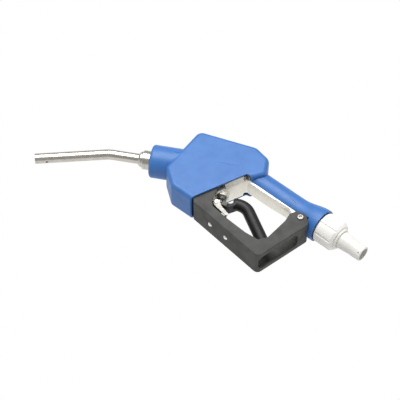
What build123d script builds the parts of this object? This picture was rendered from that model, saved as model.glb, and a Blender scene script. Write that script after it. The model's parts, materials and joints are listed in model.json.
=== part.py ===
"""Automatic dispensing nozzle for clean fluids, lying on its side.

Every outline is drawn on MID, the plane that halves the nozzle. Its local x axis is the spout's
axis and points back to the handle, its local y axis points away from the trigger, and its local
origin is where the spout's axis meets the handle's axis.
"""

import os
from math import cos, radians, sin

from build123d import *

# Spout
spout_radius = 8.0
spout_bore_radius = 7.0
spout_bend_angle = 16.0
spout_bend_x = -216.0
spout_bend_radius = 45.0
spout_tip_run = 115.0
spout_root_x = -128.0
sensing_hole_radius = 1.6
sensing_hole_from_tip = 18.0
vacuum_tube_radius = 2.0
vacuum_tube_bore = 1.2
vacuum_tube_offset = 4.6
spout_seal_thickness = 1.2
spout_flange_thickness = 1.8
spout_nut_front_x = -163.5
spout_nut_radius = 14.8
ferrule_length = 6.4
spout_washer_thickness = 1.03
sensing_passage_radius = 0.9

# Cover
half_thickness = 26.0
cover_wall = 2.6
cover_edge_round = 6.5
neck_radius = 25.6
neck_front_x = -150.6
neck_front_wall = 3.0
neck_edge_round = 4.0
trigger_edge_start = (-73.5, -78.0)
trigger_edge_end = (-2.1, -18.4)
window_offset = 13.0
window_end = 128.0
body_corners = (
    (-79.5, 40.5, 12.0),
    (-1.0, 24.0, 16.0),
    (15.0, 13.0, 14.0),
    (19.0, -4.0, 10.0),
    (-4.0, -18.0, 8.0),
    (-112.5, -26.0, 9.0),
)
belly_corners = (
    (-4.0, -18.0, 8.0),
    (-21.5, -97.2, 8.0),
    (-100.5, -54.0, 8.0),
    (-112.5, -26.0, 9.0),
)

cover_screw_places = ((-83.0, 33.0), (6.0, 25.0), (-72.0, -62.0), (-104.0, -42.0))
screw_post_radius = 4.5
screw_post_gap = 1.0
screw_radius = 1.8
screw_head_radius = 3.4
screw_head_height = 2.85
screw_head_depth = 3.0
screw_end = 12.0
neck_root_x = -95.0
neck_opening_radius = 15.2

# Handle
handle_angle = 30.0
grip_radius = 19.0
flare_start = 97.0
flare_end = 137.0
rim_end = 143.0
flange_radius = 26.0
handle_bore_radius = 11.0
handle_tube_radius = 15.8
inlet_thread_radius = 15.0
inlet_thread_end = 168.0

# Body casting
casting_gap = 0.3
window_face_half_height = 13.6
window_face_proud = 3.5
window_face_corners = ((-62.0, -78.0), (-62.0, -24.0), (-20.0, -10.0), (0.0, 10.0),
                       (96.0, -45.0), (88.0, -66.0), (4.0, -24.0), (-40.0, -62.0))
brow_half = 22.5
brow_start = 34.0
brow_end_gap = 3.0
core_half_height = 16.0
core_corners = ((-70.0, -18.0), (-70.0, 18.0), (-30.0, 24.0), (0.0, 18.0),
                (12.0, 4.0), (0.0, -14.0), (-24.0, -26.0))
neck_tube_end = -62.0
spout_socket_radius = 13.6
spout_seat_x = -129.0
handle_collar_start = 112.0
handle_collar_radius = 17.8
handle_collar_gap = 0.5
valve_x = -31.0
chamber_radius = 15.0
chamber_wall = 5.0
chamber_top_y = 34.0
outlet_chamber_radius = 12.0
outlet_chamber_low_y = -20.0
seat_low_y = 1.0
seat_top_y = 6.0
boss_radius = 10.5
boss_end_y = -50.0
neck_tube_radius = 20.0
neck_bore_radius = 12.0
outlet_duct_radius = 6.0
outlet_duct_y = -7.0
inlet_duct_radius = 8.0
inlet_duct_y = 15.0

# Valve stem
stem_radius = 3.0
stem_tip_y = -63.2
stem_top_y = 21.0
packing_top_y = -32.0
packing_low_y = -46.0
packing_well_radius = 5.5
packing_nut_end_y = -55.0
packing_head_radius = 7.4
poppet_radius = 12.5
poppet_seal_height = 2.1
circlip_height = 1.0
main_spring_radius = 9.2
main_wire_radius = 1.1
main_spring_turns = 6
cap_plug_depth = 6.0
cap_bore_radius = 12.0
cap_height = 4.0

# Shut-off plunger and diaphragm latch
plunger_x = -53.0
plunger_radius = 3.5
plunger_drop = 3.5
pivot_y = -64.0
pivot_radius = 2.5
pivot_pin_half = 10.0
plunger_head_y = -25.0
plunger_head_radius = 5.9
plunger_bore_low_y = -60.0
spring_well_low_y = -34.0
spring_well_top_y = -23.0
spring_well_radius = 6.3
latch_y = -38.0
latch_radius = 2.0
latch_head_radius = 7.0
latch_recess_radius = 12.0
latch_recess_end = -72.0
diaphragm_x = -80.0
diaphragm_thickness = 1.2
housing_radius = 17.0
housing_end = -61.0
cap_rim_radius = 13.0
small_spring_radius = 4.5
small_wire_radius = 0.5

# Check valve
check_seat_x = -74.0
check_seat_length = 4.0
check_rod_radius = 2.0
check_disc_radius = 9.0

# Lever
lever_radius = 9.4
lever_front = (-12.0, -57.6)
lever_knee = (6.8, -57.0)
lever_end = (50.5, -129.5)
lever_knee_radius = 24.0
lever_pad_y = -63.5
lever_block_low_y = -71.0
lever_block_half = 8.5
fork_slot_half = 2.8
clip_pin = (-36.4, -65.5)
clip_pin_radius = 1.8
clip_pin_half = 12.0
clip_side_gap = 0.7
clip_sheet = 1.6
clip_corners = ((-41.5, -66.0), (-38.0, -61.0), (-31.0, -61.5), (-30.5, -66.0), (-27.5, -72.0),
                (-14.5, -84.5), (-15.5, -88.3), (-19.5, -87.5), (-39.0, -71.5))
clip_bar = (-18.3, -85.6)
clip_bar_radius = 1.6
clip_stop_place = (-23.5, -67.2)
lever_pocket_gap = 2.0
lever_pocket = ((-64.0, -54.0), (-42.5, -54.0), (-42.5, -90.0), (-64.0, -90.0))

# Guard
guard_half = 22.0
guard_wall = 3.0
guard_corners = (
    (-64.1, -78.7, 4.0),
    (41.9, -149.7, 8.0),
    (98.8, -86.8, 6.0),
    (91.7, -78.9, 10.0),
    (-39.6, -45.6, 1.0),
    (-68.0, -71.0, 2.0),
)
guard_open_corners = ((106, -60, 4), (-20, 0, 4), (-76, -55, 4))
guard_cut_corners = ((-37.7, -46.9), (-41.6, -72.8), (-38.0, -83.6), (-11.7, -102.8), (17.0, -121.1),
                     (37.9, -130.6), (51.3, -123.3), (70.6, -89.6), (75.6, -74.5), (84.9, -67.8),
                     (88.0, -50.0), (20.0, -10.0), (-30.0, -36.0))
guard_edge_round = 1.2
guard_grip_gap = 0.4
guard_rear_place = (91.7, -78.9)
guard_screw_radius = 2.5
guard_screw_head = 4.5
guard_lug_radius = 7.5
guard_rear_lug = ((72.0, -57.0), (92.0, -50.0), (102.0, -64.0), (98.0, -76.0), (84.0, -78.0))
guard_front_place = (-60.0, -75.0)
guard_front_screw_end = -11.0
guard_front_lug_radius = 5.0
guard_front_lug_height = 7.9
guard_front_lug = ((-64.5, -72.0), (-50.0, -64.0), (-52.0, -50.0), (-65.0, -58.0))
slot_half_height = 13.5
slot_start = -5.0
slot_end = 69.0
slot_corner = 9.0
rivet_radius = 3.6
rivet_stations = (34.0, 67.0)
rivet_shank_radius = 1.48
rack_height = 10.0
rack_length = 46.0
rack_start = 26.0
rack_half = 7.0
rack_step = 5.0
rack_teeth = 7
rack_base = 2.0
rack_sheet = 1.5

# Coupling nut and hose tail
nut_start = 144.0
nut_shoulder = 176.5
nut_end = 180.0
nut_radius = 23.5
nut_collar_radius = 17.0
nut_lobes = 8
tail_radius = 12.0
tail_root_radius = 13.5
tail_taper_end = 200.0
tail_bore_radius = 9.8
tail_end = 220.0
tail_flange_radius = 14.9
nut_groove_place = 24.6
nut_groove_radius = 2.4
gasket_thickness = 2.0
strainer_start = 118.0
strainer_radius = 9.0
strainer_bore_radius = 7.6

# Fits
running_clearance = 0.05
press_clearance = 0.02
screw_clearance = 0.2
loose_clearance = 0.1
thread_depth = 0.2

# Frame: the box around the whole nozzle stands centred on the origin.
bend = radians(spout_bend_angle)
slope = radians(handle_angle)
tip_x = spout_bend_x - spout_tip_run * cos(bend) - spout_radius * sin(bend)
tail_x = tail_end * cos(slope) + tail_radius * sin(slope)
top_y = max(y + r for x, y, r in body_corners)
low_y = min(y - r for x, y, r in guard_corners)
MID = Plane(origin=(-(tip_x + tail_x) / 2, -(top_y + low_y) / 2, half_thickness))


def at(x, y, z=0.0):
    """Turn a place on MID into a place in the part's frame."""
    return MID.from_local_coords(Vector(x, y, z))


def line_plane(x, y, angle):
    """Sketch plane on the mid-plane whose x axis points at angle, in degrees from MID's."""
    return Plane(at(x, y), x_dir=(cos(radians(angle)), sin(radians(angle)), 0), z_dir=(0, 0, 1))


SPOUT = line_plane(0, 0, 0)
HANDLE = line_plane(0, 0, -handle_angle)
VALVE = line_plane(valve_x, 0, 90)
PLUNGER = line_plane(plunger_x, 0, 90)
LATCH = line_plane(0, latch_y, 0)


def wall_plane(first, second):
    """Sketch plane along the outside of the straight wall that joins two round corners."""
    run = Vector(second[0] - first[0], second[1] - first[1])
    lean = (first[2] - second[2]) / run.length
    along = run.normalized()
    out = along * lean + Vector(along.Y, -along.X) * (1 - lean * lean) ** 0.5
    start = at(first[0] + out.X * first[2], first[1] + out.Y * first[2])
    return Plane(start, x_dir=(-out.Y, out.X, 0), z_dir=(0, 0, 1))


GUARD_FRONT = wall_plane(guard_corners[0], guard_corners[1])
GUARD_REAR = wall_plane(guard_corners[1], guard_corners[2])


def turned(plane, *profile):
    """Solid of revolution about plane's x axis, from (along, radius) corners."""
    with BuildPart() as piece:
        with BuildSketch(plane):
            with BuildLine():
                Polyline(*profile, close=True)
            make_face()
        revolve(axis=Axis(plane.origin, plane.x_dir))
    return piece


def ring(plane, start, end, outer, inner):
    """Round ring or bush about plane's x axis."""
    return turned(plane, (start, inner), (end, inner), (end, outer), (start, outer))


def rod(plane, start, end, radius):
    """Solid cylinder about plane's x axis."""
    return turned(plane, (start, 0), (end, 0), (end, radius), (start, radius))


def coil(plane, start, end, radius, wire, turns):
    """Round-wire compression spring about plane's x axis."""
    foot = plane.from_local_coords(Vector(start, 0, 0))
    length = end - start
    with BuildPart() as piece:
        with BuildLine():
            path = Helix(length / turns, length, radius, center=foot, direction=plane.x_dir)
        with BuildSketch(Plane(origin=path @ 0, z_dir=path % 0)):
            Circle(wire)
        sweep(is_frenet=True)
    return piece


def upright(x, y, low, high, radius):
    """Solid cylinder along Z through a place on MID, from low to high above MID."""
    with BuildPart() as piece:
        with BuildSketch(MID.offset(low)):
            with Locations((x, y)):
                Circle(radius)
        extrude(amount=high - low)
    return piece


def rounded_outline(corners, inset=0.0):
    """Sketch the convex outline around round corners given as (x, y, radius)."""
    for x, y, radius in corners:
        with Locations((x, y)):
            Circle(radius - inset)
    make_hull()


def save(piece, name):
    """Label a finished piece and write it as one STEP file."""
    piece.part.label = name
    export_step(piece.part, f"parts/{name}.step")


os.makedirs("parts", exist_ok=True)

# Cover: a moulded casing in two shells, open along the trigger side.

edge_run = Vector(*trigger_edge_end) - Vector(*trigger_edge_start)
edge_along = edge_run.normalized()
edge_out = Vector(edge_along.Y, -edge_along.X)


def trigger_side(proud, reach, level, height):
    """Block of space on the trigger side of the casing's edge, moved out by proud."""
    start = Vector(*trigger_edge_start) - edge_along * 60 + edge_out * proud
    window = Vector(cos(slope), -sin(slope))
    across = Vector(sin(slope), cos(slope))
    below = across * (-window_offset - proud)
    corner = start + edge_along * ((below - start).dot(across) / edge_along.dot(across))
    finish = below + window * reach
    far = (finish - across * 90, start + edge_out * 150 + window * 60, start + edge_out * 150)
    with BuildPart() as piece:
        with BuildSketch(MID.offset(level)) as area:
            with BuildLine():
                Polyline(start, corner, finish, *far, close=True)
            make_face()
            fillet(area.vertices().sort_by_distance(corner)[0], 4)
        extrude(amount=height)
    return piece


def grip_body(inset):
    """The round grip with its flare and rim, smaller by inset all round."""
    grip = grip_radius - inset
    flange = flange_radius - inset
    with BuildPart() as piece:
        with BuildSketch(HANDLE):
            with BuildLine():
                Polyline((0, 0), (0, grip), (flare_start, grip))
                Spline((flare_start, grip), (flare_end, flange), tangents=((1, 0), (1, 0.1)))
                Polyline((flare_end, flange), (rim_end, flange), (rim_end, 0), (0, 0))
            make_face()
        revolve(axis=Axis(HANDLE.origin, HANDLE.x_dir))
    return piece


def casing_slab(corners, inset):
    """Flat-topped block of the casing round some corners, with its edges rounded."""
    with BuildPart() as piece:
        with BuildSketch(MID.offset(-half_thickness + inset)):
            rounded_outline(corners, inset)
        extrude(amount=2 * (half_thickness - inset))
        flat = piece.faces().filter_by(Axis.Z)
        fillet(flat.edges(), cover_edge_round - inset)
    return piece


def casing_body(inset):
    """The casing's outside, or with an inset the space inside its wall."""
    handle = grip_body(inset)
    body = casing_slab(body_corners, inset)
    belly = casing_slab(belly_corners, inset)
    with BuildPart() as piece:
        add(body.part)
        add(belly.part)
        with BuildSketch(SPOUT):
            with BuildLine():
                front = neck_front_x + (neck_front_wall if inset else 0)
                side = neck_radius - inset
                bevel = neck_edge_round - inset / 2
                Polyline((neck_root_x, 0), (front, 0), (front, side - bevel))
                RadiusArc((front, side - bevel), (front + bevel, side), bevel)
                Polyline((front + bevel, side), (neck_root_x, side), (neck_root_x, 0))
            make_face()
        revolve(axis=Axis(SPOUT.origin, SPOUT.x_dir))
        add(handle.part)
    return piece


casing = casing_body(0)
casing_space = casing_body(cover_wall)
with BuildPart() as shell:
    add(casing.part)
    add(casing_space.part, mode=Mode.SUBTRACT)
    for x, y in cover_screw_places:
        post_end = half_thickness - screw_post_gap
        add(upright(x, y, -post_end, post_end, screw_post_radius).part)
    open_side = trigger_side(0, window_end, -half_thickness - 1, 2 * half_thickness + 2)
    add(open_side.part, mode=Mode.SUBTRACT)
    mouth = rod(SPOUT, neck_front_x - 1, neck_front_x + neck_front_wall + 1, neck_opening_radius)
    add(mouth.part, mode=Mode.SUBTRACT)

with BuildPart() as cover_upper:
    add(shell.part)
    split(bisect_by=MID, keep=Keep.TOP)
    for x, y in cover_screw_places:
        hole = upright(x, y, 0, screw_end + 2, screw_radius - thread_depth)
        add(hole.part, mode=Mode.SUBTRACT)

with BuildPart() as cover_lower:
    add(shell.part)
    split(bisect_by=MID, keep=Keep.BOTTOM)
    for x, y in cover_screw_places:
        hole = upright(x, y, -half_thickness - 1, 1, screw_radius + screw_clearance)
        add(hole.part, mode=Mode.SUBTRACT)
        seat = -half_thickness + screw_post_gap + screw_head_depth
        well = upright(x, y, -half_thickness - 1, seat, screw_head_radius + casting_gap)
        add(well.part, mode=Mode.SUBTRACT)


# Body casting: neck tube, valve chamber, handle tube and the bosses that carry the mechanism.

outer_chamber = chamber_radius + chamber_wall
face_low = -window_face_half_height
face_height = 2 * window_face_half_height
window_block = trigger_side(window_face_proud, window_end, face_low, face_height)

with BuildPart() as window_face:
    with BuildSketch(MID.offset(face_low)):
        with BuildLine():
            Polyline(*window_face_corners, close=True)
        make_face()
    extrude(amount=face_height)
    add(window_block.part, mode=Mode.SUBTRACT)

# Brow: the casting slopes out from the cover's edge to the window's face.
edge_facing = (edge_out.X, edge_out.Y, 0)
EDGE = Plane(at(*trigger_edge_start), x_dir=edge_facing, z_dir=(edge_along.X, edge_along.Y, 0))
with BuildPart() as brow:
    with BuildSketch(EDGE):
        with BuildLine():
            Polyline((-5, -brow_half), (0.6, -brow_half), (window_face_proud, -window_face_half_height),
                     (window_face_proud, window_face_half_height), (0.6, brow_half), (-5, brow_half),
                     close=True)
        make_face()
    extrude(amount=edge_run.length - brow_end_gap)
    add(upright(plunger_x, pivot_y, -half_thickness, half_thickness, brow_start).part, mode=Mode.SUBTRACT)

# The space that the cover's grip takes, left free by the casting.
with BuildPart() as grip_wall_space:
    add(grip_body(-casting_gap).part)
    add(grip_body(cover_wall + casting_gap).part, mode=Mode.SUBTRACT)
    add(trigger_side(casting_gap, window_end, -40, 80).part, mode=Mode.SUBTRACT)

with BuildPart() as valve_body:
    add(rod(SPOUT, neck_front_x + neck_front_wall + casting_gap, neck_tube_end, neck_tube_radius).part)
    add(rod(VALVE, outlet_chamber_low_y - 4, chamber_top_y, outer_chamber).part)
    add(rod(HANDLE, -6, handle_collar_start, handle_tube_radius).part)
    add(rod(HANDLE, handle_collar_start, rim_end + handle_collar_gap, handle_collar_radius).part)
    add(rod(HANDLE, rim_end + handle_collar_gap, inlet_thread_end, inlet_thread_radius).part)
    with BuildSketch(MID.offset(-core_half_height)):
        with BuildLine():
            Polyline(*core_corners, close=True)
        make_face()
    extrude(amount=2 * core_half_height)
    add(window_face.part)
    add(brow.part)
    # Lugs that carry the guard.
    lug_half = guard_half - guard_wall - loose_clearance
    add(upright(*guard_rear_place, -lug_half, lug_half, guard_lug_radius).part)
    with BuildSketch(MID.offset(face_low)):
        with BuildLine():
            Polyline(*guard_rear_lug, close=True)
        make_face()
    extrude(amount=face_height)
    with BuildSketch(MID.offset(-lug_half)):
        with Locations(guard_front_place):
            Circle(guard_front_lug_radius)
        with BuildLine():
            Polyline(*guard_front_lug, close=True)
        make_face()
    extrude(amount=guard_front_lug_height)
    add(grip_wall_space.part, mode=Mode.SUBTRACT)
    rear_hole = upright(*guard_rear_place, -guard_half, guard_half, guard_screw_radius + screw_clearance)
    add(rear_hole.part, mode=Mode.SUBTRACT)
    front_hole_end = guard_front_screw_end + 0.5
    front_hole = upright(*guard_front_place, -guard_half, front_hole_end, screw_radius + press_clearance)
    add(front_hole.part, mode=Mode.SUBTRACT)
    add(rod(VALVE, boss_end_y, outlet_chamber_low_y, boss_radius).part)
    add(rod(LATCH, diaphragm_x + diaphragm_thickness / 2, housing_end, housing_radius).part)
    # Pocket for the lever's front end and the plunger's eye.
    pocket_half = lever_block_half + lever_pocket_gap
    with BuildSketch(MID.offset(-pocket_half)):
        with BuildLine():
            Polyline(*lever_pocket, close=True)
        make_face()
    extrude(amount=2 * pocket_half, mode=Mode.SUBTRACT)
    # Flow path from the handle to the spout.
    add(rod(HANDLE, -4, inlet_thread_end + 1, handle_bore_radius).part, mode=Mode.SUBTRACT)
    inlet_duct = rod(line_plane(0, inlet_duct_y, 180), -2, -valve_x, inlet_duct_radius)
    add(inlet_duct.part, mode=Mode.SUBTRACT)
    add(rod(VALVE, seat_low_y, chamber_top_y + 1, chamber_radius).part, mode=Mode.SUBTRACT)
    outlet_chamber = rod(VALVE, outlet_chamber_low_y, seat_low_y + 1, outlet_chamber_radius)
    add(outlet_chamber.part, mode=Mode.SUBTRACT)
    outlet_duct = rod(line_plane(0, outlet_duct_y, 180), -valve_x, -check_seat_x, outlet_duct_radius)
    add(outlet_duct.part, mode=Mode.SUBTRACT)
    add(rod(SPOUT, spout_seat_x, check_seat_x, neck_bore_radius).part, mode=Mode.SUBTRACT)
    add(rod(SPOUT, neck_front_x - 1, spout_seat_x, spout_socket_radius).part, mode=Mode.SUBTRACT)
    # Stem bore with its packing well and a spot face for the packing nut.
    add(rod(VALVE, boss_end_y - 20, boss_end_y, boss_radius + 3.5).part, mode=Mode.SUBTRACT)
    stem_bore = rod(VALVE, boss_end_y - 1, outlet_chamber_low_y + 1, stem_radius + running_clearance)
    add(stem_bore.part, mode=Mode.SUBTRACT)
    add(rod(VALVE, boss_end_y - 1, packing_top_y, packing_well_radius).part, mode=Mode.SUBTRACT)
    # Plunger bore, spring well and latch bore.
    plunger_bore = rod(PLUNGER, plunger_bore_low_y, spring_well_top_y, plunger_radius + running_clearance)
    add(plunger_bore.part, mode=Mode.SUBTRACT)
    add(rod(PLUNGER, spring_well_low_y, spring_well_top_y, spring_well_radius).part, mode=Mode.SUBTRACT)
    latch_bore = rod(LATCH, diaphragm_x, plunger_x, latch_radius + running_clearance)
    add(latch_bore.part, mode=Mode.SUBTRACT)
    add(rod(LATCH, diaphragm_x, latch_recess_end, latch_recess_radius).part, mode=Mode.SUBTRACT)

main_valve_seat = turned(VALVE, (seat_low_y, 9), (seat_top_y - 1, 9), (seat_top_y, 10),
                         (seat_top_y, chamber_radius), (seat_low_y, chamber_radius))
seal_low_y = seat_top_y + loose_clearance
seal_top_y = seal_low_y + poppet_seal_height
plate_top_y = seal_top_y + 3.8
circlip_low_y = stem_top_y - circlip_height
main_poppet = turned(VALVE, (seal_top_y, stem_radius), (seal_top_y, poppet_radius),
                     (plate_top_y, poppet_radius), (plate_top_y, 6), (circlip_low_y, 6),
                     (circlip_low_y, stem_radius))
poppet_seal = ring(VALVE, seal_low_y, seal_top_y, poppet_radius - 1, stem_radius)
with BuildPart() as valve_stem:
    add(rod(VALVE, stem_tip_y + stem_radius, stem_top_y, stem_radius).part)
    with Locations(at(valve_x, stem_tip_y + stem_radius)):
        Sphere(stem_radius)
stem_circlip = ring(VALVE, circlip_low_y, stem_top_y, stem_radius + 2, stem_radius)
main_spring = coil(VALVE, plate_top_y + main_wire_radius + casting_gap,
                   chamber_top_y - main_wire_radius - screw_clearance,
                   main_spring_radius, main_wire_radius, main_spring_turns)
cap_plug_radius = chamber_radius - running_clearance
cap_top_y = chamber_top_y + cap_height
valve_cap = turned(VALVE, (chamber_top_y - cap_plug_depth, cap_bore_radius),
                   (chamber_top_y - cap_plug_depth, cap_plug_radius), (chamber_top_y, cap_plug_radius),
                   (chamber_top_y, outer_chamber - 1), (cap_top_y, outer_chamber - 2), (cap_top_y, 0),
                   (chamber_top_y, 0), (chamber_top_y, cap_bore_radius))
stem_packing = ring(VALVE, packing_low_y + loose_clearance, packing_top_y - loose_clearance,
                    packing_well_radius - loose_clearance, stem_radius + running_clearance)
nut_plug_radius = packing_well_radius - loose_clearance
nut_bore_radius = stem_radius + loose_clearance
packing_nut = turned(VALVE, (packing_nut_end_y, nut_bore_radius), (packing_low_y, nut_bore_radius),
                     (packing_low_y, nut_plug_radius), (boss_end_y, nut_plug_radius),
                     (boss_end_y, packing_head_radius), (packing_nut_end_y + 0.5, packing_head_radius),
                     (packing_nut_end_y, packing_head_radius - 0.5))

with BuildPart() as shutoff_plunger:
    add(rod(PLUNGER, pivot_y + 7, plunger_head_y, plunger_radius).part)
    add(rod(PLUNGER, plunger_head_y, spring_well_top_y - 0.5, plunger_head_radius).part)
    eye_half = fork_slot_half - casting_gap
    with BuildSketch(MID.offset(-eye_half)):
        with Locations((plunger_x, pivot_y)):
            Circle(5)
        with Locations((plunger_x, pivot_y + 5)):
            Rectangle(7, 10)
    extrude(amount=2 * eye_half)
    eye_hole = upright(plunger_x, pivot_y, -pivot_pin_half, pivot_pin_half, pivot_radius + press_clearance)
    add(eye_hole.part, mode=Mode.SUBTRACT)
    # Notch for the latch, with a ramp above it.
    notch_x = plunger_x - 2.2
    notch_low_y = latch_y - latch_radius - screw_clearance
    notch_top_y = latch_y + latch_radius + casting_gap
    with BuildSketch(MID.offset(-5)):
        with BuildLine():
            Polyline((plunger_x - 5, notch_low_y), (notch_x, notch_low_y), (notch_x, notch_top_y),
                     (plunger_x - 5, notch_top_y + 3.7), close=True)
        make_face()
    extrude(amount=10, mode=Mode.SUBTRACT)
well_wire_gap = small_wire_radius + loose_clearance
plunger_spring = coil(PLUNGER, spring_well_low_y + well_wire_gap, plunger_head_y - well_wire_gap, 4.9,
                      small_wire_radius, 4)
diaphragm_half = diaphragm_thickness / 2
latch_end_x = plunger_x - 2.6
latch_head_x = diaphragm_x + diaphragm_half + 0.4
latch_pin = turned(LATCH, (latch_end_x, 0), (latch_end_x, latch_radius), (latch_head_x + 1.5, latch_radius),
                   (latch_head_x + 1.5, latch_head_radius), (latch_head_x, latch_head_radius),
                   (latch_head_x, 0))
plate_x = diaphragm_x - diaphragm_half - loose_clearance
diaphragm_plate = rod(LATCH, plate_x - 1.5, plate_x, latch_head_radius)
diaphragm = rod(LATCH, diaphragm_x - diaphragm_half, diaphragm_x + diaphragm_half, housing_radius)
cap_roof_x = diaphragm_x - 14
diaphragm_spring = coil(LATCH, cap_roof_x + 0.8, plate_x - 2.3, small_spring_radius, small_wire_radius, 5)
diaphragm_cap = turned(LATCH, (diaphragm_x - diaphragm_half, cap_rim_radius),
                       (diaphragm_x - diaphragm_half, housing_radius), (cap_roof_x + 2, housing_radius),
                       (cap_roof_x - 2, 12), (cap_roof_x - 2, 0), (cap_roof_x, 0), (cap_roof_x, 9),
                       (cap_roof_x + 4, cap_rim_radius))

sleeve_radius = neck_bore_radius - press_clearance
disc_x = check_seat_x - check_seat_length - loose_clearance
disc_front_x = disc_x - 2.9
carrier_x = check_seat_x - 26
check_valve_seat = ring(SPOUT, check_seat_x - check_seat_length, check_seat_x, sleeve_radius, 7)
check_poppet = turned(SPOUT, (disc_x, 0), (disc_x, 8), (disc_front_x + 1, check_disc_radius),
                      (disc_front_x, check_disc_radius), (disc_front_x, check_rod_radius),
                      (carrier_x - 3.5, check_rod_radius), (carrier_x - 3.5, 0))
with BuildPart() as check_spring_carrier:
    add(ring(SPOUT, carrier_x - 4, carrier_x, sleeve_radius, check_rod_radius + running_clearance).part)
    for turn in range(4):
        flow_hole = rod(SPOUT, carrier_x - 5, carrier_x + 1, 2.4)
        side = radians(90 * turn + 45)
        add(Pos(0, 7.3 * sin(side), 7.3 * cos(side)) * flow_hole.part, mode=Mode.SUBTRACT)
check_spring = coil(SPOUT, carrier_x + 0.7, disc_front_x - 0.8, 4.6, 0.6, 7)

# Spout: a bent tube with its sensing hole, a vacuum tube inside it and the nut that holds it.

tip_run = Vector(-cos(bend), -sin(bend))
tip_end = (spout_bend_x - spout_tip_run * cos(bend), -spout_tip_run * sin(bend))
with BuildLine(MID) as spout_line:
    FilletPolyline((spout_root_x, 0), (spout_bend_x, 0), tip_end, radius=spout_bend_radius)
spout_start = Plane(origin=spout_line.line @ 0, z_dir=spout_line.line % 0)

sensing_origin = Vector(*tip_end) - tip_run * sensing_hole_from_tip
SENSING = line_plane(sensing_origin.X, sensing_origin.Y, spout_bend_angle - 90)

flange_rear_x = spout_seat_x - spout_seal_thickness
flange_front_x = flange_rear_x - spout_flange_thickness
flange_outer_radius = spout_socket_radius - 0.4
with BuildPart() as spout_tube:
    with BuildSketch(spout_start):
        Circle(spout_radius)
        Circle(spout_bore_radius, mode=Mode.SUBTRACT)
    sweep(path=spout_line.line)
    add(ring(SPOUT, flange_front_x, flange_rear_x, flange_outer_radius, spout_bore_radius).part)
    add(rod(SENSING, 3, 12, sensing_hole_radius).part, mode=Mode.SUBTRACT)

vacuum_knee = (spout_bend_x + vacuum_tube_offset * sin(bend) / (1 + cos(bend)), -vacuum_tube_offset)
vacuum_end = sensing_origin + tip_run * 4 + Vector(sin(bend), -cos(bend)) * vacuum_tube_offset
with BuildLine(MID) as vacuum_line:
    FilletPolyline((check_seat_x - 30.1, -vacuum_tube_offset), vacuum_knee, (vacuum_end.X, vacuum_end.Y),
                   radius=spout_bend_radius - vacuum_tube_offset)
with BuildPart() as vacuum_tube:
    with BuildSketch(Plane(origin=vacuum_line.line @ 0, z_dir=vacuum_line.line % 0)):
        Circle(vacuum_tube_radius)
        Circle(vacuum_tube_bore, mode=Mode.SUBTRACT)
    sweep(path=vacuum_line.line)
    add(rod(SENSING, vacuum_tube_offset, 8, sensing_passage_radius).part, mode=Mode.SUBTRACT)
sensing_bush = ring(SENSING, vacuum_tube_offset + vacuum_tube_radius + running_clearance,
                    spout_radius - screw_clearance, sensing_hole_radius - running_clearance,
                    sensing_passage_radius)
washer_rear_x = flange_front_x - press_clearance
washer_front_x = washer_rear_x - spout_washer_thickness
nut_rear_x = washer_front_x - running_clearance
nut_neck_radius = spout_socket_radius - loose_clearance
nut_head_x = neck_front_x - 1.4
spout_fit_radius = spout_radius + running_clearance
spout_nut = turned(SPOUT, (spout_nut_front_x, spout_fit_radius), (nut_rear_x, spout_fit_radius),
                   (nut_rear_x, nut_neck_radius), (nut_head_x, nut_neck_radius),
                   (nut_head_x, spout_nut_radius), (spout_nut_front_x + 1, spout_nut_radius),
                   (spout_nut_front_x, spout_nut_radius - 1))
ferrule_rear_x = spout_nut_front_x - loose_clearance
ferrule_front_x = ferrule_rear_x - ferrule_length
ferrule_fit_radius = spout_radius + press_clearance
ferrule_rim_radius = ferrule_fit_radius + 4.2
spout_ferrule = turned(SPOUT, (ferrule_front_x, ferrule_fit_radius), (ferrule_rear_x, ferrule_fit_radius),
                       (ferrule_rear_x, ferrule_rim_radius), (ferrule_rear_x - 2.9, ferrule_rim_radius),
                       (ferrule_front_x, ferrule_fit_radius + 1.2))
spout_seal = ring(SPOUT, flange_rear_x, spout_seat_x, spout_socket_radius - screw_clearance,
                  neck_bore_radius + loose_clearance)
spout_washer = ring(SPOUT, washer_front_x, washer_rear_x, flange_outer_radius, spout_radius + loose_clearance)

# Lever: a round bar with a flat fork at its front.

with BuildLine(MID) as lever_line:
    FilletPolyline(lever_front, lever_knee, lever_end, radius=lever_knee_radius)
with BuildPart() as lever:
    with BuildSketch(Plane(origin=lever_line.line @ 0, z_dir=lever_line.line % 0)):
        Circle(lever_radius)
    sweep(path=lever_line.line)
    round_ends = lever.edges().filter_by(GeomType.CIRCLE)
    fillet(round_ends.sort_by_distance(lever_line.line @ 1)[0], 5)
    fillet(lever.edges().filter_by(GeomType.CIRCLE).sort_by_distance(lever_line.line @ 0)[0], 2.5)
    with BuildSketch(MID.offset(-lever_block_half)):
        with BuildLine():
            Polyline((-50, lever_pad_y), (-15, lever_pad_y), (-10, -60), (-6, -63),
                     (-16, lever_block_low_y + 1), (-20, lever_block_low_y),
                     (-50, lever_block_low_y + 1.5), close=True)
        make_face()
        with Locations((plunger_x, pivot_y)):
            Circle(6)
    extrude(amount=2 * lever_block_half)
    with BuildSketch(MID.offset(-fork_slot_half)):
        with Locations((plunger_x - 4, pivot_y)):
            Rectangle(22, 30)
    extrude(amount=2 * fork_slot_half, mode=Mode.SUBTRACT)
    pivot_fit_radius = pivot_radius + running_clearance
    pivot_hole = upright(plunger_x, pivot_y, -pivot_pin_half, pivot_pin_half, pivot_fit_radius)
    add(pivot_hole.part, mode=Mode.SUBTRACT)
    clip_hole = upright(*clip_pin, -clip_pin_half, clip_pin_half, clip_pin_radius + press_clearance)
    add(clip_hole.part, mode=Mode.SUBTRACT)
lever_pivot_pin = upright(plunger_x, pivot_y, -pivot_pin_half, pivot_pin_half, pivot_radius)
circlip_low = lever_block_half + casting_gap
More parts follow.
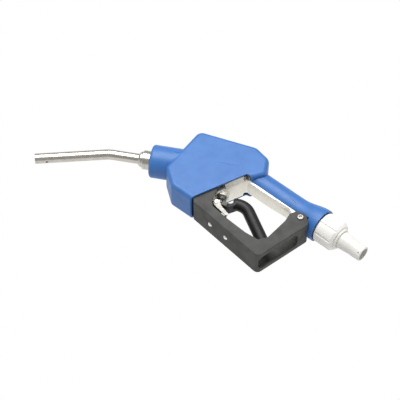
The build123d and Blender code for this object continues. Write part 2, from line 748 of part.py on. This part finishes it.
with BuildPart() as pivot_circlips:
    add(upright(plunger_x, pivot_y, circlip_low, circlip_low + 0.8, pivot_radius + 1.6).part)
    add(upright(plunger_x, pivot_y, -circlip_low - 0.8, -circlip_low, pivot_radius + 1.6).part)
    add(lever_pivot_pin.part, mode=Mode.SUBTRACT)

clip_level = lever_block_half + clip_side_gap
clip_outside = clip_level + clip_sheet
with BuildPart() as clip_side:
    with BuildSketch(MID.offset(clip_level)):
        with BuildLine():
            Polyline(*clip_corners, close=True)
        make_face()
        fillet(clip_side.vertices(), 1)
    extrude(amount=clip_sheet)
with BuildPart() as hold_open_clip:
    add(clip_side.part)
    mirror(about=MID)
    add(upright(*clip_bar, -clip_level - 0.8, clip_level + 0.8, clip_bar_radius).part)
    pin_hole = upright(*clip_pin, -clip_pin_half, clip_pin_half, clip_pin_radius + running_clearance)
    add(pin_hole.part, mode=Mode.SUBTRACT)
with BuildPart() as clip_rivet:
    add(upright(*clip_pin, -clip_pin_half, clip_pin_half, clip_pin_radius).part)
    head_low = clip_outside + screw_clearance
    add(upright(*clip_pin, head_low, clip_pin_half, clip_pin_radius + 1.2).part)
    add(upright(*clip_pin, -clip_pin_half, -head_low, clip_pin_radius + 1.2).part)
with BuildPart() as clip_stop:
    with BuildSketch(MID.offset(lever_block_half)):
        with Locations(clip_stop_place):
            Rectangle(8.5, 7, rotation=-12)
    extrude(amount=3)
    fillet(clip_stop.faces().sort_by(Axis.Z)[-1].edges(), 0.8)

def rivet_axis(along):
    """Plane on the guard's front wall whose x axis points inwards through a rivet."""
    foot = GUARD_FRONT.from_local_coords(Vector(along, 0, 0))
    return Plane(foot, x_dir=GUARD_FRONT.y_dir, z_dir=GUARD_FRONT.z_dir)


# Guard: a channel round the fingers, closed outside and open towards the lever.

with BuildPart() as guard:
    with BuildSketch(MID.offset(-guard_half)):
        rounded_outline(guard_corners)
    extrude(amount=2 * guard_half)
    fillet(guard.faces().filter_by(Axis.Z).edges(), guard_edge_round)
    with BuildSketch(MID.offset(-guard_half + guard_wall)):
        rounded_outline(guard_corners[:3] + guard_open_corners, guard_wall)
    extrude(amount=2 * (guard_half - guard_wall), mode=Mode.SUBTRACT)
    with BuildSketch(MID.offset(-guard_half - 1)):
        with BuildLine():
            Polyline(*guard_cut_corners, close=True)
        make_face()
    extrude(amount=2 * guard_half + 2, mode=Mode.SUBTRACT)
    with BuildSketch(Plane(GUARD_REAR.origin, x_dir=GUARD_REAR.x_dir, z_dir=-GUARD_REAR.y_dir)):
        with Locations(((slot_start + slot_end) / 2, 0)):
            RectangleRounded(slot_end - slot_start, 2 * slot_half_height, slot_corner)
    extrude(amount=-4 * guard_wall, mode=Mode.SUBTRACT)
    for along in rivet_stations:
        rivet_hole = rod(rivet_axis(along), -5, 8, rivet_shank_radius + press_clearance)
        add(rivet_hole.part, mode=Mode.SUBTRACT)
    add(grip_body(-guard_grip_gap).part, mode=Mode.SUBTRACT)
    rear_fit_radius = guard_screw_radius + loose_clearance
    rear_hole = upright(*guard_rear_place, -guard_half - 1, guard_half + 1, rear_fit_radius)
    add(rear_hole.part, mode=Mode.SUBTRACT)
    front_hole = upright(*guard_front_place, -guard_half - 1, -guard_half + 4, screw_radius + loose_clearance)
    add(front_hole.part, mode=Mode.SUBTRACT)

# Hold-open rack, riveted inside the guard's front wall.

rack_end = rack_start + rack_length
rack_top = guard_wall + rack_base
with BuildPart() as hold_open_rack:
    with BuildSketch(GUARD_FRONT.offset(-rack_half)):
        with BuildLine():
            Polyline((rack_start, guard_wall), (rack_end, guard_wall), (rack_end, rack_top),
                     (rack_start, rack_top), close=True)
        make_face()
    extrude(amount=2 * rack_half)
    with BuildSketch(GUARD_FRONT.offset(rack_half - rack_sheet), GUARD_FRONT.offset(-rack_half)):
        with BuildLine():
            Polyline((rack_start, guard_wall + 1), (rack_end, guard_wall + 1),
                     (rack_end - 4, rack_height + 1), (rack_start + 2, rack_height + 1), close=True)
        make_face()
    extrude(amount=rack_sheet)
    with BuildSketch(GUARD_FRONT.offset(-rack_half - 1)):
        for notch in range(rack_teeth):
            along = rack_start + rack_step * (notch + 1)
            with BuildLine():
                Polyline((along, rack_height + 2), (along + rack_step * 0.7, rack_height + 2),
                         (along, rack_height - 2), close=True)
            make_face()
    extrude(amount=2 * rack_half + 2, mode=Mode.SUBTRACT)
    for along in rivet_stations:
        rivet_hole = rod(rivet_axis(along), -5, 8, rivet_shank_radius + press_clearance)
        add(rivet_hole.part, mode=Mode.SUBTRACT)

with BuildPart() as rack_rivets:
    for along in rivet_stations:
        rivet = turned(rivet_axis(along), (-1.2, 0), (-1.2, 2.4), (0, rivet_radius),
                       (0, rivet_shank_radius), (rack_top, rivet_shank_radius), (rack_top, 2.6),
                       (rack_top + 1, 2.2), (rack_top + 1, 0))
        add(rivet.part)

# Guard fixings.

with BuildPart() as guard_rear_screw:
    add(upright(*guard_rear_place, -guard_half - 2.5, guard_half, guard_screw_radius).part)
    add(upright(*guard_rear_place, guard_half, guard_half + 2.2, guard_screw_head).part)
    fillet(guard_rear_screw.faces().sort_by(Axis.Z)[-1].edges(), 0.5)
    with BuildSketch(MID.offset(guard_half + 0.6)):
        with Locations(guard_rear_place):
            RegularPolygon(2.7, 6)
    extrude(amount=3, mode=Mode.SUBTRACT)
with BuildPart() as guard_rear_nut:
    with BuildSketch(MID.offset(-guard_half)):
        with Locations(guard_rear_place):
            RegularPolygon(guard_screw_head, 6)
            Circle(guard_screw_radius + press_clearance, mode=Mode.SUBTRACT)
    extrude(amount=-3)
with BuildPart() as guard_front_screw:
    add(upright(*guard_front_place, -guard_half, guard_front_screw_end, screw_radius).part)
    add(upright(*guard_front_place, -guard_half - 1.8, -guard_half, screw_head_radius).part)

# Coupling nut, hose tail and inlet.

nut_thread_radius = inlet_thread_radius + running_clearance
nut_neck = tail_root_radius + 0.4
with BuildPart() as coupling_nut:
    with BuildSketch(HANDLE):
        with BuildLine():
            Polyline((nut_start, nut_thread_radius), (nut_start, nut_radius - 1.5),
                     (nut_start + 1.5, nut_radius), (nut_shoulder - 4, nut_radius),
                     (nut_shoulder, nut_radius - 3.5), (nut_shoulder, nut_collar_radius),
                     (nut_end - 1, nut_collar_radius), (nut_end, nut_collar_radius - 1),
                     (nut_end, nut_neck), (nut_shoulder, nut_neck), (nut_shoulder, nut_thread_radius),
                     close=True)
        make_face()
    revolve(axis=Axis(HANDLE.origin, HANDLE.x_dir))
    for lobe in range(nut_lobes):
        angle = radians(360 / nut_lobes * (lobe + 0.5))
        centre = Vector(0, nut_groove_place * cos(angle), nut_groove_place * sin(angle))
        groove_line = Plane(HANDLE.from_local_coords(centre), x_dir=HANDLE.x_dir, z_dir=HANDLE.z_dir)
        groove = rod(groove_line, nut_start - 1, nut_shoulder + 1, nut_groove_radius)
        add(groove.part, mode=Mode.SUBTRACT)
gasket_end = inlet_thread_end + gasket_thickness
tail_start = gasket_end + loose_clearance
tail_flange_end = nut_shoulder - gasket_thickness + 0.8
inlet_gasket = ring(HANDLE, inlet_thread_end, gasket_end, inlet_thread_radius - 0.4, handle_bore_radius)
hose_tail = turned(HANDLE, (tail_start, tail_bore_radius), (tail_start, tail_flange_radius),
                   (tail_flange_end, tail_flange_radius), (tail_flange_end, tail_root_radius),
                   (nut_end + 1, tail_root_radius), (tail_taper_end, tail_radius),
                   (tail_end - 1, tail_radius), (tail_end, tail_radius - 1), (tail_end, tail_bore_radius))
swivel_washer = ring(HANDLE, tail_flange_end + loose_clearance, nut_shoulder - press_clearance,
                     tail_flange_radius, tail_root_radius + screw_clearance)
strainer_end = inlet_thread_end - 0.5
strainer_flange = handle_bore_radius - running_clearance
inlet_strainer = turned(HANDLE, (strainer_start, strainer_bore_radius), (strainer_start, strainer_radius),
                        (strainer_end - 1.5, strainer_radius), (strainer_end - 1.5, strainer_flange),
                        (strainer_end, strainer_flange), (strainer_end, strainer_bore_radius))
with BuildPart() as cover_screws:
    for x, y in cover_screw_places:
        seat = -half_thickness + screw_post_gap + screw_head_depth - running_clearance
        head_start = seat - screw_head_height
        add(upright(x, y, head_start, screw_end, screw_radius - thread_depth - press_clearance).part)
        add(upright(x, y, head_start, seat, screw_head_radius).part)

for piece, name in (
    (cover_upper, "cover_upper"), (cover_lower, "cover_lower"), (valve_body, "valve_body"),
    (main_valve_seat, "main_valve_seat"), (main_poppet, "main_poppet"), (poppet_seal, "poppet_seal"),
    (valve_stem, "valve_stem"), (stem_circlip, "stem_circlip"), (main_spring, "main_spring"),
    (valve_cap, "valve_cap"), (stem_packing, "stem_packing"), (packing_nut, "packing_nut"),
    (shutoff_plunger, "shutoff_plunger"), (plunger_spring, "plunger_spring"), (latch_pin, "latch_pin"),
    (diaphragm_plate, "diaphragm_plate"), (diaphragm, "diaphragm"), (diaphragm_spring, "diaphragm_spring"),
    (diaphragm_cap, "diaphragm_cap"), (check_valve_seat, "check_valve_seat"), (check_poppet, "check_poppet"),
    (check_spring_carrier, "check_spring_carrier"), (check_spring, "check_spring"),
    (spout_tube, "spout_tube"),
    (vacuum_tube, "vacuum_tube"), (sensing_bush, "sensing_bush"), (spout_nut, "spout_nut"),
    (spout_ferrule, "spout_ferrule"), (spout_seal, "spout_seal"), (spout_washer, "spout_washer"),
    (lever, "lever"), (lever_pivot_pin, "lever_pivot_pin"), (pivot_circlips, "pivot_circlips"),
    (hold_open_clip, "hold_open_clip"), (clip_rivet, "clip_rivet"), (clip_stop, "clip_stop"),
    (guard, "guard"),
    (hold_open_rack, "hold_open_rack"), (rack_rivets, "rack_rivets"),
    (guard_rear_screw, "guard_rear_screw"), (guard_rear_nut, "guard_rear_nut"),
    (guard_front_screw, "guard_front_screw"), (coupling_nut, "coupling_nut"),
    (inlet_gasket, "inlet_gasket"), (hose_tail, "hose_tail"), (swivel_washer, "swivel_washer"),
    (inlet_strainer, "inlet_strainer"), (cover_screws, "cover_screws"),
):
    save(piece, name)
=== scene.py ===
"""Automatic dispensing nozzle on a light table: camera, light, finishes and fine detail."""

import json
import math

import bpy
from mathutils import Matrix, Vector


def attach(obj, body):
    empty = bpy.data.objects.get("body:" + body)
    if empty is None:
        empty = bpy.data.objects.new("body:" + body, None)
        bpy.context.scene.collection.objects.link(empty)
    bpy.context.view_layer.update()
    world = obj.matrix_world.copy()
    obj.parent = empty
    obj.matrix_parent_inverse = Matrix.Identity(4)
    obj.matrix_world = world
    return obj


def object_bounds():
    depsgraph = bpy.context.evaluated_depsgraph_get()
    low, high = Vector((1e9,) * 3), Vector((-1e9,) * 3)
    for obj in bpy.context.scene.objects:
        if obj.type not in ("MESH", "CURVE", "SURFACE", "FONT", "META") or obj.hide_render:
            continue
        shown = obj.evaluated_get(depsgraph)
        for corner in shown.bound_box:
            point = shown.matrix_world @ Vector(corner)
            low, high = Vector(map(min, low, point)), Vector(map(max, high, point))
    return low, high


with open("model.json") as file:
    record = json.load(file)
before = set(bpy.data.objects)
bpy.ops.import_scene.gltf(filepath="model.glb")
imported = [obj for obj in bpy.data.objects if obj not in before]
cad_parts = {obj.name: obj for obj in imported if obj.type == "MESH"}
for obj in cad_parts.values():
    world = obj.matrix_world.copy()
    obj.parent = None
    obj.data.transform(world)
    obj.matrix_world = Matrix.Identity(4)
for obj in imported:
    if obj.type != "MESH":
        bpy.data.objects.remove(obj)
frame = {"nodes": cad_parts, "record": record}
cad_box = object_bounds()

MM = 0.001
# Noise values hardly leave this range, so it is spread over the whole of each ramp.
NOISE_LOW = 0.3
NOISE_HIGH = 0.7
# How far gloss drifts either side of its level on plastic, and below and above it on metal.
PLASTIC_GLOSS_DRIFT = 0.05
METAL_GLOSS_BELOW = 0.06
METAL_GLOSS_ABOVE = 0.08
# Patches of colour and of gloss on plastic, in mm across.
PLASTIC_COLOUR_PATCH = 22
PLASTIC_GLOSS_PATCH = 9
# Colour patches on metal are this many times as large as its marks.
METAL_PATCH_RATIO = 3
# Stretch of a metal whose marks look the same in every direction.
EVEN = (1, 1, 1)
# Heights above the table, in mm, of the cover's surface where each mark lies.
NECK_TOP = 51.32
BODY_TOP = 52.0
GRIP_TOP = 44.85
# Underside of the nozzle, in metres.
underside = cad_box[0][2]
scene = bpy.context.scene


def linear(hexcode):
    """Turn an sRGB hex colour into the linear colour that a shader takes."""
    channels = [int(hexcode[i:i + 2], 16) / 255 for i in (1, 3, 5)]
    straight = [c / 12.92 if c <= 0.04045 else ((c + 0.055) / 1.055) ** 2.4 for c in channels]
    return (*straight, 1)


def add(tree, kind, settings=None, inputs=None):
    """Add a node with its settings. An input is a plain value or another node's output socket."""
    made = tree.nodes.new(kind)
    for name, value in (settings or {}).items():
        setattr(made, name, value)
    for name, value in (inputs or {}).items():
        if isinstance(value, bpy.types.NodeSocket):
            tree.links.new(value, made.inputs[name])
        else:
            made.inputs[name].default_value = value
    return made


def start_material(name):
    """A new node material with nothing in it but its output, and its tree."""
    made = bpy.data.materials.new(name)
    made.use_nodes = True
    made.node_tree.nodes.clear()
    return made, made.node_tree


def finish_material(tree, shader):
    """Connect the finished shader to the material's output."""
    add(tree, "ShaderNodeOutputMaterial", inputs={"Surface": shader.outputs[0]})


def per_mm(size_mm):
    """Noise scale whose features are about size_mm across, on coordinates in metres."""
    return 1000 / size_mm


def mottled(tree, place, dark, light, size_mm, detail=3.0):
    """Colour that drifts between two hex colours over patches of size_mm."""
    noise = add(tree, "ShaderNodeTexNoise", inputs={
        "Vector": place,
        "Scale": per_mm(size_mm),
        "Detail": detail,
    })
    ramp = add(tree, "ShaderNodeValToRGB", inputs={"Fac": noise.outputs["Fac"]})
    ramp.color_ramp.elements[0].position = NOISE_LOW
    ramp.color_ramp.elements[0].color = linear(dark)
    ramp.color_ramp.elements[1].position = NOISE_HIGH
    ramp.color_ramp.elements[1].color = linear(light)
    return ramp.outputs["Color"]


def varied(tree, place, size_mm, lowest, highest, detail=2.0):
    """Value that drifts between two levels over patches of size_mm."""
    noise = add(tree, "ShaderNodeTexNoise", inputs={
        "Vector": place,
        "Scale": per_mm(size_mm),
        "Detail": detail,
    })
    levels = add(tree, "ShaderNodeMapRange", inputs={
        "Value": noise.outputs["Fac"],
        "From Min": NOISE_LOW,
        "From Max": NOISE_HIGH,
        "To Min": lowest,
        "To Max": highest,
    })
    return levels.outputs["Result"]


def moulded_plastic(name, dark, light, rough, grain_mm, depth_mm, coat=0.0, ior=1.5):
    """Injection-moulded plastic: an even colour, a fine etched grain and slightly uneven gloss."""
    made, tree = start_material(name)
    place = add(tree, "ShaderNodeTexCoord").outputs["Object"]
    grain = add(tree, "ShaderNodeTexNoise", inputs={
        "Vector": place,
        "Scale": per_mm(grain_mm),
        "Detail": 2.0,
    })
    bump = add(tree, "ShaderNodeBump", inputs={
        "Height": grain.outputs["Fac"],
        "Strength": 0.6,
        "Distance": depth_mm * MM,
    })
    shader = add(tree, "ShaderNodeBsdfPrincipled", inputs={
        "Base Color": mottled(tree, place, dark, light, PLASTIC_COLOUR_PATCH),
        "Roughness": varied(
            tree,
            place,
            PLASTIC_GLOSS_PATCH,
            rough - PLASTIC_GLOSS_DRIFT,
            rough + PLASTIC_GLOSS_DRIFT,
        ),
        "IOR": ior,
        "Coat Weight": coat,
        "Normal": bump.outputs["Normal"],
    })
    finish_material(tree, shader)
    return made


def worked_metal(name, dark, light, rough, stretch, grain_mm, depth_mm):
    """Bare metal whose marks run along one direction: stretch squeezes the pattern across it."""
    made, tree = start_material(name)
    place = add(tree, "ShaderNodeTexCoord").outputs["Object"]
    turned = add(tree, "ShaderNodeMapping", inputs={"Vector": place, "Scale": stretch})
    along = turned.outputs["Vector"]
    marks = add(tree, "ShaderNodeTexNoise", inputs={
        "Vector": along,
        "Scale": per_mm(grain_mm),
        "Detail": 4.0,
    })
    bump = add(tree, "ShaderNodeBump", inputs={
        "Height": marks.outputs["Fac"],
        "Strength": 0.5,
        "Distance": depth_mm * MM,
    })
    shader = add(tree, "ShaderNodeBsdfPrincipled", inputs={
        "Base Color": mottled(tree, along, dark, light, grain_mm * METAL_PATCH_RATIO),
        "Metallic": 1.0,
        "Roughness": varied(
            tree,
            along,
            grain_mm,
            rough - METAL_GLOSS_BELOW,
            rough + METAL_GLOSS_ABOVE,
        ),
        "Normal": bump.outputs["Normal"],
    })
    finish_material(tree, shader)
    return made


finishes = {
    # Satin ABS, coloured through: a soft sheen and a barely visible grain.
    "blue_cover": moulded_plastic("abs_blue_satin", "#2f64a6", "#376db0", 0.45, 0.9, 0.02),
    # Shot-blasted die-cast aluminium: pale, warm and dull, with a sandy tooth.
    "cast_body": worked_metal(
        "aluminium_shot_blasted", "#e6e3d9", "#f6f3ea", 0.55, EVEN, 0.7, 0.05
    ),
    # Turned brass inside the valve.
    "brass_parts": worked_metal(
        "brass_turned", "#b8954e", "#cfae66", 0.3, (1, 12, 1), 1.2, 0.01
    ),
    # Nitrile rubber: black and dull.
    "rubber_seals": moulded_plastic("nitrile_black", "#0d0d0d", "#161616", 0.6, 0.6, 0.02),
    "stainless_rod": worked_metal(
        "stainless_turned", "#b9b6b0", "#cecbc5", 0.25, (1, 14, 1), 1.0, 0.01
    ),
    "spring_steel": worked_metal(
        "spring_wire_drawn", "#8f8c86", "#a8a59f", 0.3, EVEN, 0.6, 0.01
    ),
    "white_seal": moulded_plastic("ptfe_white", "#dedcd6", "#e8e6e0", 0.5, 0.5, 0.01),
    "black_plastic": moulded_plastic("acetal_black", "#101010", "#191919", 0.45, 0.6, 0.02),
    # Spout: stainless tube brushed along its length, so long bright and dark bands run along it.
    "brushed_spout": worked_metal(
        "stainless_brushed_tube", "#b6b0a8", "#d2cdc5", 0.27, (0.03, 1, 1), 0.5, 0.012
    ),
    "spout_nut_steel": worked_metal(
        "stainless_turned_ring", "#b4b1aa", "#c9c6bf", 0.26, (1, 0.08, 0.08), 0.5, 0.01
    ),
    # Lever: dark nylon coating over a round bar, smooth from handling.
    "lever_black": moulded_plastic(
        "nylon_coating_charcoal", "#121211", "#1b1b1a", 0.46, 1.2, 0.02, ior=1.4
    ),
    "clip_steel": worked_metal(
        "zinc_plated_strip", "#86847f", "#9d9b96", 0.42, (0.2, 1, 1), 0.6, 0.01
    ),
    "rivet_steel": worked_metal("aluminium_rivet", "#e3e1dc", "#f0eeea", 0.3, EVEN, 0.8, 0.01),
    "clip_stop_grey": moulded_plastic(
        "nylon_grey_block", "#4a4a47", "#5a5a56", 0.55, 0.8, 0.04
    ),
    # Guard: glass-filled nylon with a coarse etched grain, which shows as a sandy sparkle.
    "guard_grey": moulded_plastic(
        "nylon_glass_filled_grey", "#3d3d3c", "#4e4e4c", 0.66, 1.1, 0.3, ior=1.36
    ),
    "rack_black": moulded_plastic("steel_black_oxide", "#0b0b0b", "#141414", 0.45, 0.8, 0.02),
    "screw_steel": worked_metal(
        "zinc_plated_screw", "#85837f", "#9c9a95", 0.32, EVEN, 0.8, 0.01
    ),
    # Polypropylene: white, faintly waxy.
    "white_nut": moulded_plastic(
        "polypropylene_white_nut", "#dfddd8", "#e9e7e2", 0.45, 1.0, 0.02
    ),
    "white_tail": moulded_plastic(
        "polypropylene_white_tail", "#d3d1cc", "#dddbd6", 0.42, 1.0, 0.02
    ),
}

slot_of = {entry["node"]: entry["material_slot"] for entry in frame["record"]["subparts"]}
for name, piece in frame["nodes"].items():
    piece.data.materials.clear()
    piece.data.materials.append(finishes[slot_of[name]])

# Fine marks: hairline dashes on the cover, whose dark blue is painted shade standing in for thin
# groove lines, and one pin mark near the hose tail's end.
groove_shade_paint = moulded_plastic("abs_blue_painted_groove_shade", "#14305c", "#1b3c70", 0.6, 0.6, 0.01)
pin_paint = moulded_plastic("polypropylene_pin_mark", "#3a3936", "#4a4946", 0.6, 0.6, 0.01)


def dash(name, start_mm, end_mm, width_mm=0.45, proud_mm=0.1):
    """Hairline dash of painted groove shade lying on the cover between two places in the frame, in
    mm.
    """
    start, end = Vector(start_mm) * MM, Vector(end_mm) * MM
    bpy.ops.object.select_all(action="DESELECT")
    bpy.ops.mesh.primitive_cube_add(size=1, location=(0, 0, 0))
    piece = bpy.context.object
    piece.name = name
    piece.scale = ((end - start).length, width_mm * MM, 2 * proud_mm * MM)
    piece.rotation_euler = (end - start).to_track_quat("X", "Z").to_euler()
    piece.location = (start + end) / 2
    bpy.ops.object.transform_apply(location=True, rotation=True, scale=True)
    piece.data.materials.append(groove_shade_paint)
    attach(piece, "root")


dash("neck_mark", (-48.0, 56.6, NECK_TOP), (-34.1, 56.2, NECK_TOP))
dash(
    "body_mark", (19.8, 49.8, BODY_TOP), (53.6, 48.8, BODY_TOP), width_mm=0.3, proud_mm=0.04
)
dash("grip_mark_front", (72.6, 46.7, GRIP_TOP), (91.5, 34.9, GRIP_TOP))
dash("grip_mark_rear", (126.1, 18.5, GRIP_TOP), (146.9, 1.8, GRIP_TOP))

pin_place = Vector((249.2, -62.3, 35.0)) * MM
pin_radius = 0.8 * MM
bpy.ops.object.select_all(action="DESELECT")
bpy.ops.mesh.primitive_uv_sphere_add(
    segments=24, ring_count=12, radius=pin_radius, location=pin_place
)
pin_mark = bpy.context.object
pin_mark.name = "tail_pin_mark"
bpy.ops.object.transform_apply(location=True, rotation=True, scale=True)
bpy.ops.object.shade_smooth()
pin_mark.data.materials.append(pin_paint)
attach(pin_mark, "tail")

# Camera: a long lens well above the nozzle, a little round to its right. Distances in metres.
view_turn = math.radians(11.6)
view_rise = math.radians(52)
view_distance = 2.1
sensor_width_mm = 36
focal_length_mm = 126
farthest_seen = 20
aim = Vector((3.71, -6.98, 26.0)) * MM
back = Vector((
    math.sin(view_turn) * math.cos(view_rise),
    -math.cos(view_turn) * math.cos(view_rise),
    math.sin(view_rise),
))
lens = bpy.data.cameras.new("camera")
lens.sensor_width = sensor_width_mm
lens.lens = focal_length_mm
lens.clip_end = farthest_seen
camera = bpy.data.objects.new("camera", lens)
scene.collection.objects.link(camera)
camera.location = aim + back * view_distance
camera.rotation_euler = back.to_track_quat("Z", "Y").to_euler()
scene.camera = camera

# Floor and light: a light table, whose white sheet glows, under a broad soft light. Metres.
sheet_width = 12
sheet_gap = 0.0002
sheet_strength = 1.0
room_strength = 0.45
bpy.ops.object.select_all(action="DESELECT")
bpy.ops.mesh.primitive_plane_add(size=sheet_width, location=(0, 0, underside - sheet_gap))
floor = bpy.context.object
floor.name = "floor"
floor_paint, tree = start_material("light_table_white_sheet")
floor_glow = add(tree, "ShaderNodeEmission", inputs={
    "Color": linear("#ffffff"),
    "Strength": sheet_strength,
})
finish_material(tree, floor_glow)
floor.data.materials.append(floor_paint)


def soft_light(name, place, size, power):
    """Square area light aimed at the middle of the frame: metres and watts."""
    lamp = bpy.data.lights.new(name, "AREA")
    lamp.shape = "SQUARE"
    lamp.size = size
    lamp.energy = power
    holder = bpy.data.objects.new(name, lamp)
    scene.collection.objects.link(holder)
    holder.location = place
    holder.rotation_euler = Vector(place).to_track_quat("Z", "Y").to_euler()


soft_light("overhead", place=(-0.3, 0.5, 1.9), size=1.6, power=50)
soft_light("left_fill", place=(-1.8, -0.6, 1.1), size=1.2, power=0.6)
soft_light("right_fill", place=(1.7, -0.3, 1.0), size=1.0, power=6)

world = bpy.data.worlds.new("studio")
scene.world = world
world.use_nodes = True
background = world.node_tree.nodes["Background"]
background.inputs["Color"].default_value = linear("#ffffff")
background.inputs["Strength"].default_value = room_strength
scene.view_settings.view_transform = "Standard"
